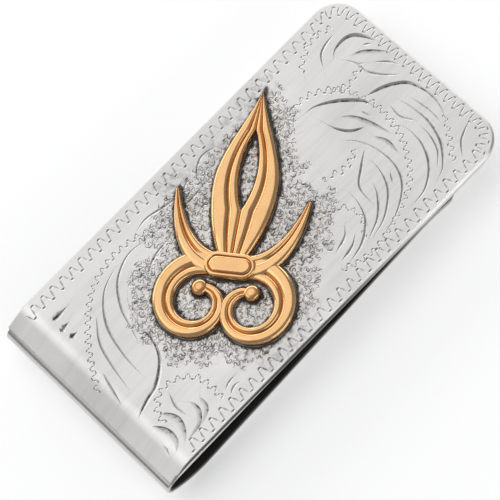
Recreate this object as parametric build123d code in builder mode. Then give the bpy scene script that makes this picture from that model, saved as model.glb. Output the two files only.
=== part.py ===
"""Engraved money clip: a folded spring strip, an engraved face plate and a gilt scroll ornament.

X runs along the clip from the fold (-X) to the open end (+X), Y runs across it, and the engraved
face looks up, along +Z. The origin is under the middle of the clip, at the level of the belly
that it rests on. All sizes are in millimetres and degrees.
"""

import os
from math import asin, atan2, cos, degrees, hypot, radians, sin, tan

from build123d import *

os.makedirs("parts", exist_ok=True)

# Driving dimensions: overall
clip_length = 50.8
clip_width = 25.4

# Driving dimensions: face plate, with its tail filed down to a feather edge over the fold
plate_thickness = 0.6
plate_corner_radius = 3.4
plate_bevel = 0.2
feather_angle = 26.0
feather_edge = 0.06
feather_brow_radius = 1.5

# Driving dimensions: spring strip and the solder that holds the plate on it
strip_thickness = 0.55
strip_side_inset = 0.1
front_leg_setback = 0.6
solder_film = 0.05

# Driving dimensions: fold of the strip, as three arcs of its mid line
brow_radius = 7.0
brow_angle = 28.0
nose_radius = 0.85
nose_angle = 117.0
belly_radius = 7.0

# Driving dimensions: back leg, its crest that pinches the notes and its flared lip
pinch_setback = 12.4
pinch_gap = 0.05
lip_radius = 14.0
lip_angle = 16.0
lip_flat = 3.0
lip_clip_length = 3.0
lip_clip_width = 1.6

# Driving dimensions: scroll ornament. It is drawn upright, then turned to lie across the plate
ornament_height = 1.0
ornament_x = -0.3
ornament_y = 1.6
ornament_turn = 35.0
bud_base = -4.6
bud_tip = 15.0
bud_half_width = 3.5
bud_slot_base = 1.5
bud_slot_tip = 10.5
bud_slot_half_width = 1.0
leaf_root = (0.6, -4.7)
leaf_bow = (5.8, -4.8)
leaf_tip = (7.2, 3.2)
leaf_root_width = 2.6
leaf_tip_width = 0.3
volute_centre = (2.8, -8.9)
volute_start_radius = 4.6
volute_end_radius = 1.6
volute_start_angle = 115.0
volute_turn = 385.0
volute_start_width = 2.8
volute_end_width = 0.9
volute_bead_radius = 0.85
collar_width = 5.6
collar_height = 2.8

# Places that follow from the driving dimensions
strip_width = clip_width - 2 * strip_side_inset
open_end = clip_length / 2
front_leg_end = open_end - front_leg_setback
pinch_x = open_end - pinch_setback

brow_turn = radians(brow_angle)
nose_turn = radians(brow_angle + nose_angle)
fold_overhang = brow_radius * sin(brow_turn) + nose_radius * (1 - sin(brow_turn)) + strip_thickness / 2
fold_start = -open_end + fold_overhang
belly_x = fold_start - brow_radius * sin(brow_turn)
belly_x += nose_radius * (sin(brow_turn) - sin(nose_turn)) + belly_radius * sin(nose_turn)

fold_depth = brow_radius * (1 - cos(brow_turn)) + nose_radius * (cos(brow_turn) - cos(nose_turn))
fold_depth += belly_radius * (1 + cos(nose_turn))
strip_mid = strip_thickness / 2 + fold_depth
front_leg_bottom = strip_mid - strip_thickness / 2
front_leg_top = strip_mid + strip_thickness / 2
plate_bottom = front_leg_top + solder_film
plate_top = plate_bottom + plate_thickness

# The back leg's straight stretch is the common tangent of the belly's arc and the lip's arc
crest_mid = front_leg_bottom - pinch_gap - strip_thickness / 2
centres_dx = pinch_x - belly_x
centres_dz = (crest_mid - lip_radius) - (strip_thickness / 2 + belly_radius)
centres_gap = hypot(centres_dx, centres_dz)
leg_rise = degrees(atan2(centres_dz, centres_dx) + asin((belly_radius + lip_radius) / centres_gap))
belly_angle = 180 - brow_angle - nose_angle + leg_rise
straight_length = (centres_gap**2 - (belly_radius + lip_radius) ** 2) ** 0.5

# The strip's mid line, seen from the side: the fold's arcs, then the back leg and its lip
with BuildLine() as fold_line:
    brow = JernArc((fold_start, strip_mid), (-1, 0), brow_radius, brow_angle)
    nose = JernArc(brow @ 1, brow % 1, nose_radius, nose_angle)
    belly = JernArc(nose @ 1, nose % 1, belly_radius, belly_angle)
with BuildLine() as back_leg_line:
    straight = PolarLine(belly @ 1, straight_length, direction=belly % 1)
    lip = JernArc(straight @ 1, straight % 1, lip_radius, -(leg_rise + lip_angle))
    PolarLine(lip @ 1, lip_flat, direction=lip % 1)
lip_end = back_leg_line.vertices().sort_by(Axis.X)[-1].X

# Front leg: the flat half of the strip, under the plate
with BuildPart() as spring_front_leg:
    with BuildSketch(Plane.XY.offset(front_leg_bottom)):
        with Locations(((fold_start + front_leg_end) / 2, 0)):
            leg_outline = Rectangle(front_leg_end - fold_start, strip_width)
        fillet(leg_outline.vertices().group_by(Axis.X)[-1], plate_corner_radius - strip_side_inset)
    extrude(amount=strip_thickness)
spring_front_leg.part.label = "spring_front_leg"
export_step(spring_front_leg.part, "parts/spring_front_leg.step")

# Fold: the sprung teardrop loop between the two legs
with BuildPart() as spring_bend:
    with BuildSketch(Plane.XZ):
        trace(fold_line.line, line_width=strip_thickness)
    extrude(amount=strip_width / 2, both=True)
spring_bend.part.label = "spring_bend"
export_step(spring_bend.part, "parts/spring_bend.step")

# Back leg: climbs to its crest under the front leg, then flares into a lip with clipped corners
with BuildPart() as spring_back_leg:
    with BuildSketch(Plane.XZ):
        trace(back_leg_line.line, line_width=strip_thickness)
    extrude(amount=strip_width / 2, both=True)
    with BuildSketch():
        with Locations(((fold_start + lip_end) / 2, 0)):
            Rectangle(lip_end - fold_start + 2 * strip_thickness, strip_width)
        for side in (1, -1):
            with BuildLine():
                Polyline(
                    (lip_end - lip_clip_length, side * strip_width),
                    (lip_end - lip_clip_length, side * strip_width / 2),
                    (lip_end, side * (strip_width / 2 - lip_clip_width)),
                    (open_end, side * (strip_width / 2 - lip_clip_width)),
                    (open_end, side * strip_width),
                    close=True,
                )
            make_face(mode=Mode.SUBTRACT)
    extrude(amount=plate_top, mode=Mode.INTERSECT)
spring_back_leg.part.label = "spring_back_leg"
export_step(spring_back_leg.part, "parts/spring_back_leg.step")

# The solder and the plate follow the strip over the start of the fold, as far as the feather edge
solder_radius = brow_radius + strip_thickness / 2
tail_radius = solder_radius + solder_film
feather = radians(feather_angle)
feather_x = fold_start - (tail_radius + feather_edge) * sin(feather)
feather_z = plate_bottom - tail_radius + (tail_radius + feather_edge) * cos(feather)
feather_start = feather_x + (plate_top - feather_z) / tan(feather)

# Face solder: the film of silver solder between the strip and the plate
with BuildPart() as face_solder:
    with BuildSketch(Plane.XZ):
        with BuildLine():
            under = JernArc((fold_start, front_leg_top), (-1, 0), solder_radius, feather_angle)
            over = JernArc((fold_start, plate_bottom), (-1, 0), tail_radius, feather_angle)
            Line(under @ 1, over @ 1)
            Polyline(under @ 0, (front_leg_end, front_leg_top), (front_leg_end, plate_bottom), over @ 0)
        make_face()
    extrude(amount=strip_width / 2, both=True)
    solder_corners = face_solder.edges().filter_by(Axis.Z).group_by(Axis.X)[-1]
    fillet(solder_corners, plate_corner_radius - strip_side_inset)
face_solder.part.label = "face_solder"
export_step(face_solder.part, "parts/face_solder.step")

# Face plate: the engraved plate, bevelled round its sides and filed away towards the fold
with BuildPart() as face_plate:
    with BuildSketch(Plane.XZ) as plate_profile:
        with BuildLine():
            tail = JernArc((fold_start, plate_bottom), (-1, 0), tail_radius, feather_angle)
            Polyline(
                tail @ 1,
                (feather_x, feather_z),
                (feather_start, plate_top),
                (open_end, plate_top),
                (open_end, plate_bottom),
                tail @ 0,
            )
        make_face()
        fillet(plate_profile.vertices().sort_by_distance((feather_start, plate_top))[0], feather_brow_radius)
    extrude(amount=clip_width / 2, both=True)
    plate_corners = face_plate.edges().filter_by(Axis.Z).group_by(Axis.X)[-1]
    fillet(plate_corners, plate_corner_radius)
    rim = face_plate.faces().filter_by(Plane.XY).sort_by(Axis.Z)[-1].edges()
    chamfer(rim.sort_by(Axis.X)[1:], plate_bevel)
face_plate.part.label = "face_plate"
export_step(face_plate.part, "parts/face_plate.step")


def volute_point(turned, side):
    """Point of the volute's mid line, offset to its outer (1) or inner (-1) edge, or neither (0)."""
    angle = radians(volute_start_angle - volute_turn * turned)
    radius = volute_start_radius + (volute_end_radius - volute_start_radius) * turned
    radius += side * (volute_start_width + (volute_end_width - volute_start_width) * turned) / 2
    return (volute_centre[0] + radius * cos(angle), volute_centre[1] + radius * sin(angle))


def leaf_point(along, side):
    """Point of the side leaf's mid line, offset to its upper (1) or lower (-1) edge."""
    mid = [
        (1 - along) ** 2 * root + 2 * along * (1 - along) * bow + along**2 * tip
        for root, bow, tip in zip(leaf_root, leaf_bow, leaf_tip)
    ]
    slope = [
        (1 - along) * (bow - root) + along * (tip - bow)
        for root, bow, tip in zip(leaf_root, leaf_bow, leaf_tip)
    ]
    width = leaf_root_width + (leaf_tip_width - leaf_root_width) * along**2
    push = side * width / 2 / hypot(*slope)
    return (mid[0] - push * slope[1], mid[1] + push * slope[0])


def curve_between(point, side, steps):
    """Spline through evenly spaced points of an edge of a volute or a leaf."""
    return Spline([point(step / steps, side) for step in range(steps + 1)])


# Ornament outline: bud with a pierced slot, two side leaves, two volutes and a collar over the joint
with BuildSketch() as ornament_outline:
    with BuildLine():
        bud_side = Spline(
            (0.9, bud_base),
            (bud_half_width, bud_base + 0.45 * (bud_tip - bud_base)),
            (0, bud_tip),
            tangents=[(0.8, 1), (-0.25, 1)],
        )
        Line((0, bud_tip), (0, bud_base))
        Line((0, bud_base), bud_side @ 0)
    make_face()
    with BuildLine():
        ThreePointArc(
            (0, bud_slot_base),
            (bud_slot_half_width, (bud_slot_base + bud_slot_tip) / 2),
            (0, bud_slot_tip),
        )
        Line((0, bud_slot_tip), (0, bud_slot_base))
    make_face(mode=Mode.SUBTRACT)
    with BuildLine():
        leaf_top = curve_between(leaf_point, 1, 6)
        leaf_bottom = curve_between(leaf_point, -1, 6)
        Line(leaf_top @ 0, leaf_bottom @ 0)
        Line(leaf_top @ 1, leaf_bottom @ 1)
    make_face()
    with BuildLine():
        volute_outside = curve_between(volute_point, 1, 20)
        volute_inside = curve_between(volute_point, -1, 20)
        Line(volute_outside @ 0, volute_inside @ 0)
        Line(volute_outside @ 1, volute_inside @ 1)
    make_face()
    with Locations(volute_point(1, 0)):
        Circle(volute_bead_radius)
    mirror(about=Plane.YZ)
    with Locations((0, (bud_base + leaf_root[1]) / 2)):
        SlotOverall(collar_width, collar_height)

# Ornament solder: the film that holds the ornament on the plate
turned = radians(ornament_turn)
ornament_plane = Plane((ornament_x, ornament_y, plate_top), x_dir=(sin(turned), -cos(turned), 0))
with BuildPart() as ornament_solder:
    with BuildSketch(ornament_plane):
        add(ornament_outline.sketch)
    extrude(amount=solder_film)
ornament_solder.part.label = "ornament_solder"
export_step(ornament_solder.part, "parts/ornament_solder.step")

# Scroll ornament: cut from gilt sheet and soldered on
with BuildPart() as scroll_ornament:
    with BuildSketch(ornament_plane.offset(solder_film)):
        add(ornament_outline.sketch)
    extrude(amount=ornament_height)
scroll_ornament.part.label = "scroll_ornament"
export_step(scroll_ornament.part, "parts/scroll_ornament.step")
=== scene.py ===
"""Engraved money clip: a folded spring strip, an engraved face plate and a gilt scroll ornament.

The clip lies with its engraved face up, its fold towards -X and its open end towards +X.
Sizes are in millimetres and angles in degrees until a mesh is made, which is in metres.
"""
from math import ceil, cos, hypot, pi, radians, sin, sqrt, tan

import bmesh
import bpy
import numpy as np
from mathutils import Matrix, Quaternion, Vector, noise
from mathutils.bvhtree import BVHTree
from mathutils.geometry import delaunay_2d_cdt


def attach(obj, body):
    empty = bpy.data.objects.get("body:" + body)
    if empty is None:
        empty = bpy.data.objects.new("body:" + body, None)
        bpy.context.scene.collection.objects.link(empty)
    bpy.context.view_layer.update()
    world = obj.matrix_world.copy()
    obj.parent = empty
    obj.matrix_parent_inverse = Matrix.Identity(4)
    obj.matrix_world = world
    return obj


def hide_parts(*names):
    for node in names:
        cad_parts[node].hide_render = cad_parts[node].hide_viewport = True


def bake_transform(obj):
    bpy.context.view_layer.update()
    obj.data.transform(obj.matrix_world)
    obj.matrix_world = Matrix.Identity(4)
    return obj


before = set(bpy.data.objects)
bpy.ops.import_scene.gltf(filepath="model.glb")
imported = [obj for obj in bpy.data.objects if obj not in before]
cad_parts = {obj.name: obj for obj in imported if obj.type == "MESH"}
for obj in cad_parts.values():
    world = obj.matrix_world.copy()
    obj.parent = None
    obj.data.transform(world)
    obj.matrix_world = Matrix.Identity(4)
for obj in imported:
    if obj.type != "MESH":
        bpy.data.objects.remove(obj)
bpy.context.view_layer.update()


# ---- Spring strip --------------------------------------------------------------------------
# One length of hard-rolled nickel silver, its long edges tumbled smooth, folded back on itself in
# a teardrop that springs the back leg against the front one. The front leg, the fold and the back
# leg are three pieces of that strip.
MM = 0.001
strip_thickness = 0.55
strip_half_width = 12.6
strip_edge_round = 0.14
section_flats = 9
fold_x = -21.388
front_leg_mid_z = 3.807
front_leg_end_x = 24.8
front_leg_corner = 3.3
fold_arcs = ((7.0, 28.0, 14), (0.85, 117.0, 36), (7.0, 40.1065, 20))
back_leg_length = 32.0
lip_arc = (14.0, -21.1065, 14)
lip_flat = 3.0
lip_clip_length = 3.0
lip_clip_width = 1.6
# Painted shade: the strip's inner faces between the legs are darkened nearly to black, less and less
# towards the open end.
inner_shade_end_x = 19.0
inner_shade_fade = 12.0
rolled_colour = (0.64, 0.63, 0.615, 1)
rolled_shade = (0.50, 0.49, 0.475, 1)
inner_shade_colour = (0.045, 0.043, 0.04, 1)


class Reading:
    """A socket of a finish's nodes that adds, subtracts and multiplies as a number."""

    def __init__(self, finish, socket):
        self.finish = finish
        self.socket = socket

    def reckon(self, operation, *terms):
        node = self.finish.tree.nodes.new("ShaderNodeMath")
        node.operation = operation
        for socket, term in zip(node.inputs, terms):
            self.finish.feed(socket, term)
        return Reading(self.finish, node.outputs[0])

    def __add__(self, other):
        return self.reckon("ADD", self, other)

    def __sub__(self, other):
        return self.reckon("SUBTRACT", self, other)

    def __rsub__(self, other):
        return self.reckon("SUBTRACT", other, self)

    def __mul__(self, other):
        return self.reckon("MULTIPLY", self, other)

    __radd__ = __add__
    __rmul__ = __mul__

    def between(self, low, high):
        """0 below low, 1 above high and a smooth rise between them."""
        settings = {"interpolation_type": "SMOOTHSTEP"}
        values = {"Value": self, "From Min": low, "From Max": high}
        return self.finish.node("ShaderNodeMapRange", settings, values)


class Finish:
    """A metal finish in the making: a principled shader, and the nodes that vary it."""

    def __init__(self, name, **constants):
        self.material = bpy.data.materials.new(name)
        self.material.use_nodes = True
        self.tree = self.material.node_tree
        self.shader = self.tree.nodes["Principled BSDF"]
        for socket, value in constants.items():
            self.shader.inputs[socket.replace("_", " ")].default_value = value

    def feed(self, socket, value):
        if isinstance(value, Reading):
            self.tree.links.new(value.socket, socket)
        else:
            socket.default_value = value

    def node(self, kind, settings=None, values=None, output=0):
        """A node of that kind with its settings, then the values or links of its sockets."""
        made = self.tree.nodes.new(kind)
        for name, value in (settings or {}).items():
            setattr(made, name, value)
        for socket, value in (values or {}).items():
            self.feed(made.inputs[socket], value)
        return Reading(self, made.outputs[output])

    def place(self, stretch=(1, 1, 1)):
        """Object coordinates, scaled along each axis."""
        here = self.node("ShaderNodeTexCoord", output="Object")
        return self.node("ShaderNodeMapping", {}, {"Vector": here, "Scale": stretch})

    def grain(self, stretch, scale, detail=2.0, roughness=0.5):
        """Noise from 0 to 1, in cells per metre, drawn out along the axes of a low stretch."""
        values = {"Vector": self.place(stretch), "Scale": scale, "Detail": detail, "Roughness": roughness}
        return self.node("ShaderNodeTexNoise", {}, values)

    def mark(self, name):
        """A number that the mesh carries at its corners."""
        return self.node("ShaderNodeAttribute", {"attribute_name": name}, {}, "Fac")

    def blend(self, share, colour, other):
        """The first colour, turning to the other as the share goes from 0 to 1."""
        values = {0: share, 6: colour, 7: other}
        return self.node("ShaderNodeMix", {"data_type": "RGBA"}, values, 2)

    def relief(self, height, distance, strength=1.0):
        """A surface normal tipped by a height, which is in units of the distance."""
        values = {"Height": height, "Distance": distance, "Strength": strength}
        return self.node("ShaderNodeBump", {}, values)

    def wear(self, **varying):
        for socket, value in varying.items():
            self.feed(self.shader.inputs[socket.replace("_", " ")], value)
        return self.material


def rolled_silver():
    """Nickel silver with rolling lines along the strip, soft tumbling marks, hairline scratches and painted
    shade on its inner faces.
    """
    finish = Finish("rolled_nickel_silver", Metallic=1.0)
    rolling = finish.grain((60, 5200, 60), 1.0, 3.0)
    tumbling = finish.grain((1, 1, 1), 900.0, 4.0, 0.6)
    cloud = finish.grain((1, 1, 1), 130.0, 2.0)
    scratch = finish.grain((2600, 120, 900), 1.0, 1.0).between(0.68, 0.74)
    inner_shade = finish.mark("inner_face_shade")
    tone = finish.blend(cloud.between(0.35, 0.7) * 0.55 + scratch * 0.25, rolled_colour, rolled_shade)
    # Painted shade: the inner faces between the legs go nearly black.
    tone = finish.blend(inner_shade * (0.72 + cloud * 0.3), tone, inner_shade_colour)
    height = rolling * 0.5 + tumbling * 0.6 - scratch * 0.5
    return finish.wear(
        Base_Color=tone,
        Roughness=0.2 + cloud * 0.08 + rolling * 0.05 + scratch * 0.12 + inner_shade * 0.2,
        Normal=finish.relief(height, 0.000006, 0.5),
    )


def placed(name, data):
    """An object of that mesh, curve, light or camera, in the scene."""
    made = bpy.data.objects.new(name, data)
    bpy.context.scene.collection.objects.link(made)
    return made


def carry(piece, name, numbers):
    """Gives each point of a piece's mesh a number, which its finish can read."""
    carried = piece.data.attributes.new(name, "FLOAT", "POINT")
    carried.data.foreach_set("value", np.array(numbers, np.float32))


def tube_faces(start, rows, count):
    """Faces between rows of count points each, numbered from the start and closed round each row."""
    faces = []
    for row in range(rows - 1):
        here, there = start + row * count, start + (row + 1) * count
        for col in range(count):
            after = (col + 1) % count
            faces.append((here + col, here + after, there + after, there + col))
    return faces


def uneven(x, y, z):
    """Smooth hand-made unevenness, about -1 to 1, at a point of a pattern."""
    return noise.noise(Vector((x, y, z)))


def piece_of(name, points, faces, material, sharp=40.0):
    """A mesh object from points in millimetres, shaded smooth up to a sharp angle."""
    mesh = bpy.data.meshes.new(name)
    mesh.from_pydata([(x * MM, y * MM, z * MM) for x, y, z in points], [], faces)
    mesh.validate()
    shell = bmesh.new()
    shell.from_mesh(mesh)
    bmesh.ops.recalc_face_normals(shell, faces=shell.faces)
    shell.to_mesh(mesh)
    shell.free()
    mesh.shade_smooth()
    mesh.set_sharp_from_angle(angle=radians(sharp))
    mesh.materials.append(material)
    return placed(name, mesh)


def swept_arc(start, radius, turn, steps):
    """Stations (x, z, heading) of an arc that leaves the start's heading, after the start."""
    x, z, heading = start
    side = 1 if turn > 0 else -1
    stations = []
    for step in range(1, steps + 1):
        now = heading + turn * step / steps
        dx = radius * side * (sin(radians(now)) - sin(radians(heading)))
        dz = -radius * side * (cos(radians(now)) - cos(radians(heading)))
        stations.append((x + dx, z + dz, now))
    return stations


def swept_line(start, length, steps):
    x, z, heading = start
    steps_out = [length * step / steps for step in range(1, steps + 1)]
    return [(x + d * cos(radians(heading)), z + d * sin(radians(heading)), heading) for d in steps_out]


def strip_section(half_width, half_thickness, rounding):
    """Points (across, through) round the strip's section, with its edges rounded."""
    rounding = min(rounding, half_thickness * 0.98)
    ring = []
    for corner, (y_side, n_side) in enumerate(((1, 1), (-1, 1), (-1, -1), (1, -1))):
        for step in range(5):
            angle = radians(90 * corner + 22.5 * step)
            ring.append((
                y_side * (half_width - rounding) + rounding * cos(angle),
                n_side * (half_thickness - rounding) + rounding * sin(angle),
            ))
        if corner % 2 == 0:
            for step in range(1, section_flats):
                across = y_side * (half_width - rounding) * (1 - 2 * step / section_flats)
                ring.append((across, n_side * half_thickness))
    return ring


def sweep_strip(name, stations, material, inner_side=0):
    """A closed length of strip through stations (x, z, heading, half width, half thickness).

    The inner side, above (1) or below (-1) the strip's middle line, faces the notes, and is darkened
    with painted shade, less and less towards the open end.
    """
    points, inner_shade = [], []
    for x, z, heading, half_width, half_thickness in stations:
        lean_x, lean_z = -sin(radians(heading)), cos(radians(heading))
        ring = strip_section(half_width, half_thickness, strip_edge_round)
        points += [(x + n * lean_x, y, z + n * lean_z) for y, n in ring]
        # Painted shade on the inner side: full towards the fold, fading out towards the open end.
        depth_in = min(1.0, max(0.0, (inner_shade_end_x - x) / inner_shade_fade))
        inner_shade += [depth_in if n * inner_side > 0.25 * half_thickness else 0.0 for y, n in ring]
    count = len(ring)
    faces = tube_faces(0, len(stations), count)
    faces.append(tuple(range(count)))
    faces.append(tuple((len(stations) - 1) * count + col for col in range(count)))
    made = piece_of(name, points, faces, material)
    carry(made, "inner_face_shade", inner_shade)
    return made


def worn_end(x, z, heading, half_width):
    """Stations that round over the strip's cut end, from the last full one outwards."""
    stations = []
    for tilt in (25, 50, 70, 85):
        out = strip_edge_round * (sin(radians(tilt)) - 1)
        fall = strip_edge_round * (1 - cos(radians(tilt)))
        stations.append((
            x + out * cos(radians(heading)),
            z + out * sin(radians(heading)),
            heading,
            half_width - fall,
            strip_thickness / 2 - fall,
        ))
    return stations


full = (strip_half_width, strip_thickness / 2)
strip_metal = rolled_silver()

free_end = []
for tilt in range(0, 85, 7):
    x = front_leg_end_x - front_leg_corner * (1 - sin(radians(tilt)))
    half = strip_half_width - front_leg_corner * (1 - cos(radians(tilt)))
    if x < front_leg_end_x - strip_edge_round * 1.05:
        free_end.append((x, front_leg_mid_z, 0.0, half, strip_thickness / 2))
end_half = strip_half_width - front_leg_corner * 0.98
free_end += worn_end(front_leg_end_x, front_leg_mid_z, 0.0, end_half + 0.3)
front_leg_run = front_leg_end_x - front_leg_corner - fold_x
leg_stations = [
    (fold_x + front_leg_run * step / 14, front_leg_mid_z, 0.0, *full) for step in range(14)
]
spring_front = sweep_strip("spring_front_leg_strip", leg_stations + free_end, strip_metal, -1)
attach(spring_front, "front")
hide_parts("spring_front_leg")

fold_line = [(fold_x, front_leg_mid_z, 180.0)]
for radius, turn, steps in fold_arcs:
    fold_line += swept_arc(fold_line[-1], radius, turn, steps)
spring_fold = sweep_strip("spring_fold", [(*station, *full) for station in fold_line], strip_metal, 1)
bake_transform(spring_fold)
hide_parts("spring_bend")

leg_line = [fold_line[-1]]
leg_line += swept_line(leg_line[-1], back_leg_length, 20)
leg_line += swept_arc(leg_line[-1], *lip_arc)
lip_root = leg_line[-1]
lip_tip_x = lip_root[0] + lip_flat * cos(radians(lip_root[2]))
leg_line += swept_line(lip_root, lip_flat - strip_edge_round, 8)
back_stations = []
for x, z, heading in leg_line:
    clip = lip_clip_width * max(0.0, 1 - (lip_tip_x - x) / lip_clip_length)
    back_stations.append((x, z, heading, strip_half_width - clip, strip_thickness / 2))
lip_tip = swept_line(lip_root, lip_flat, 1)[0]
back_stations += worn_end(*lip_tip, strip_half_width - lip_clip_width)
spring_back = sweep_strip("spring_back_leg_strip", back_stations, strip_metal, 1)
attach(spring_back, "leg")
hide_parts("spring_back_leg")


# ---- Face solder ---------------------------------------------------------------------------
# The film of silver solder that holds the face plate on the strip. It shows as a thin dark line
# round the joint, with a small bead left standing near the fold on the near side. The bead was
# polished with the strip, so it has the strip's finish.
solder_mid_z = 4.107
solder_half_thickness = 0.045
solder_half_width = 12.615
solder_end_x = 24.83
solder_tail_radius = 7.3
solder_tail_angle = 26.2
solder_bead = (-20.1, -12.60, 4.02)
solder_bead_size = (0.42, 0.16, 0.30)
solder_bead_bands = 9
solder_bead_turns = 14
solder_raggedness = 0.03
solder_colour = (0.33, 0.325, 0.32, 1)
solder_shade = (0.07, 0.068, 0.066, 1)


def dull_solder():
    """Silver solder left unpolished in the joint: grey, pitted and a little oxidised."""
    finish = Finish("silver_solder", Metallic=1.0)
    pits = finish.grain((1, 1, 1), 3800.0, 3.0, 0.6)
    patches = finish.grain((1, 1, 1), 700.0, 2.0)
    shade = patches.between(0.3, 0.65) * 0.8 + pits.between(0.6, 0.8) * 0.2
    return finish.wear(
        Base_Color=finish.blend(shade, solder_colour, solder_shade),
        Roughness=0.38 + patches * 0.2 + pits * 0.1,
        Normal=finish.relief(pits + patches, 0.00001, 0.7),
    )


def ragged_edge(x):
    """How far the solder has run past, or stopped short of, its even width."""
    return solder_half_width + solder_raggedness * uneven(x * 2.3, 1.0, 0.0)


solder_line = [(fold_x, solder_mid_z, 180.0)]
solder_line += swept_arc(solder_line[-1], solder_tail_radius, solder_tail_angle, 12)
solder_stations = []
for x, z, heading in reversed(solder_line[1:]):
    solder_stations.append((x, z, heading - 180, ragged_edge(x), solder_half_thickness))
for step in range(60):
    x = fold_x + (solder_end_x - front_leg_corner - fold_x) * step / 60
    solder_stations.append((x, solder_mid_z, 0.0, ragged_edge(x), solder_half_thickness))
for tilt in range(0, 88, 6):
    x = solder_end_x - front_leg_corner * (1 - sin(radians(tilt)))
    half = solder_half_width - front_leg_corner * (1 - cos(radians(tilt)))
    solder_stations.append((x, solder_mid_z, 0.0, half, solder_half_thickness))
solder_metal = dull_solder()
solder_film = sweep_strip("face_solder_film", solder_stations, solder_metal)
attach(solder_film, "front")
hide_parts("face_solder")

bead_points = []
for band in range(solder_bead_bands):
    lift = -pi / 2 + pi * band / (solder_bead_bands - 1)
    for step in range(solder_bead_turns):
        turn = 2 * pi * step / solder_bead_turns
        lump = 1 + 0.18 * uneven(3 * cos(turn) * cos(lift), 3 * sin(turn) * cos(lift), 3 * sin(lift))
        reach = (cos(lift) * cos(turn) * lump, cos(lift) * sin(turn) * lump, sin(lift) * lump)
        bead_points.append(tuple(c + s * r for c, s, r in zip(solder_bead, solder_bead_size, reach)))
bead_faces = tube_faces(0, solder_bead_bands, solder_bead_turns)
bead = piece_of("face_solder_bead", bead_points, bead_faces, strip_metal, 60.0)
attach(bead, "front")


# ---- Face plate ----------------------------------------------------------------------------
# A plate of nickel silver with rounded free corners and a bevelled rim, filed away to a feather
# edge over the fold. It is engraved by hand before the ornament goes on: a rocked border, chains
# of rocked cuts round the scrolls, tapered bright cuts inside them, and a matted ground.
plate_half_length = 25.4
plate_half_width = 12.7
plate_corner = 3.4
plate_corner_x = 22.0
plate_corner_y = 9.3
plate_top = 4.732
plate_bottom = 4.132
rim_bevel = 0.2
feather_bevel = 0.012
feather_x = -24.625
feather_z = 3.4447
brow_turn = 26.0
feather_slope = tan(radians(brow_turn))
brow_arc_radius = 3.5
brow_start_x = -21.178
brow_end_x = brow_start_x - brow_arc_radius * sin(radians(brow_turn))
tail_arc_radius = 7.325
silver_colour = (0.80, 0.785, 0.765, 1)
silver_shade = (0.62, 0.61, 0.59, 1)
# Black of the patina in the cuts and round the ornament, also used as painted shade on the near side wall
# and underside.
oxide_and_shade_colour = (0.10, 0.097, 0.095, 1)

# The scroll ornament's lines, scribed on the plate so that the ground follows them
scroll_place = (-0.3, 1.6)
scroll_turn = radians(35.0)
bud_base = -4.6
bud_tip = 15.0
bud_half = 3.5
bud_shoulder = 0.45
bud_slot = (1.5, 10.5, 1.0)
leaf_line = ((0.6, -4.7), (5.8, -4.8), (7.2, 3.2))
leaf_widths = (2.6, 0.3)
volute_centre = (2.8, -8.9)
volute_radii = (4.6, 1.6)
volute_start = 115.0
volute_turn = 385.0
volute_widths = (2.8, 0.9)
volute_bead = 0.85
collar_place = -4.65
collar_half_length = 2.8
collar_half_height = 1.4


def on_plate(across, up, side=1):
    """A point of the upright ornament, mirrored for side -1, as it lies on the plate."""
    across *= side
    return (
        scroll_place[0] + across * sin(scroll_turn) + up * cos(scroll_turn),
        scroll_place[1] - across * cos(scroll_turn) + up * sin(scroll_turn),
    )


def eased(start, start_pull, end, end_pull, share):
    """A point of the curve that leaves the start and reaches the end along their pulls."""
    a = 2 * share**3 - 3 * share**2 + 1
    b = share**3 - 2 * share**2 + share
    c = 3 * share**2 - 2 * share**3
    d = share**3 - share**2
    return tuple(a * p + b * m + c * q + d * n for p, m, q, n in zip(start, start_pull, end, end_pull))


def bud_rails(along):
    """Inner and outer point of half the bud, from its base to its tip."""
    shoulder = (bud_half, bud_base + bud_shoulder * (bud_tip - bud_base))
    if along < bud_shoulder:
        outer = eased((0.9, bud_base), (4.6, 6.8), shoulder, (0.0, 9.5), along / bud_shoulder)
    else:
        past = (along - bud_shoulder) / (1 - bud_shoulder)
        outer = eased(shoulder, (0.0, 10.5), (0.0, bud_tip), (-3.2, 11.2), past)
    low, high, half = bud_slot
    up = outer[1]
    inner = 0.0
    if low < up < high:
        bow = ((high - low) ** 2 / 4 + half**2) / (2 * half)
        inner = sqrt(bow**2 - (up - (low + high) / 2) ** 2) - (bow - half)
    return (inner, up), outer


def ribbon_rails(mid, slope, width):
    push = width / 2 / hypot(*slope)
    return (
        (mid[0] - push * slope[1], mid[1] + push * slope[0]),
        (mid[0] + push * slope[1], mid[1] - push * slope[0]),
    )


def leaf_rails(along):
    """Inner and outer point of the side leaf, from its root to its tip."""
    axes = list(zip(*leaf_line))
    left = 1 - along
    mid = [left**2 * a + 2 * along * left * b + along**2 * c for a, b, c in axes]
    slope = [left * (b - a) + along * (c - b) for a, b, c in axes]
    width = leaf_widths[0] + (leaf_widths[1] - leaf_widths[0]) * along**2
    return ribbon_rails(mid, slope, width)


def volute_rails(along):
    """Inner and outer point of the volute, from under the collar round to its bead."""
    angle = radians(volute_start - volute_turn * along)
    radius = volute_radii[0] + (volute_radii[1] - volute_radii[0]) * along
    half = (volute_widths[0] + (volute_widths[1] - volute_widths[0]) * along) / 2
    ray = (cos(angle), sin(angle))
    return tuple(
        (volute_centre[0] + reach * ray[0], volute_centre[1] + reach * ray[1])
        for reach in (radius - half, radius + half)
    )


scroll_parts = ((bud_rails, 56), (leaf_rails, 36), (volute_rails, 110))


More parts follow.
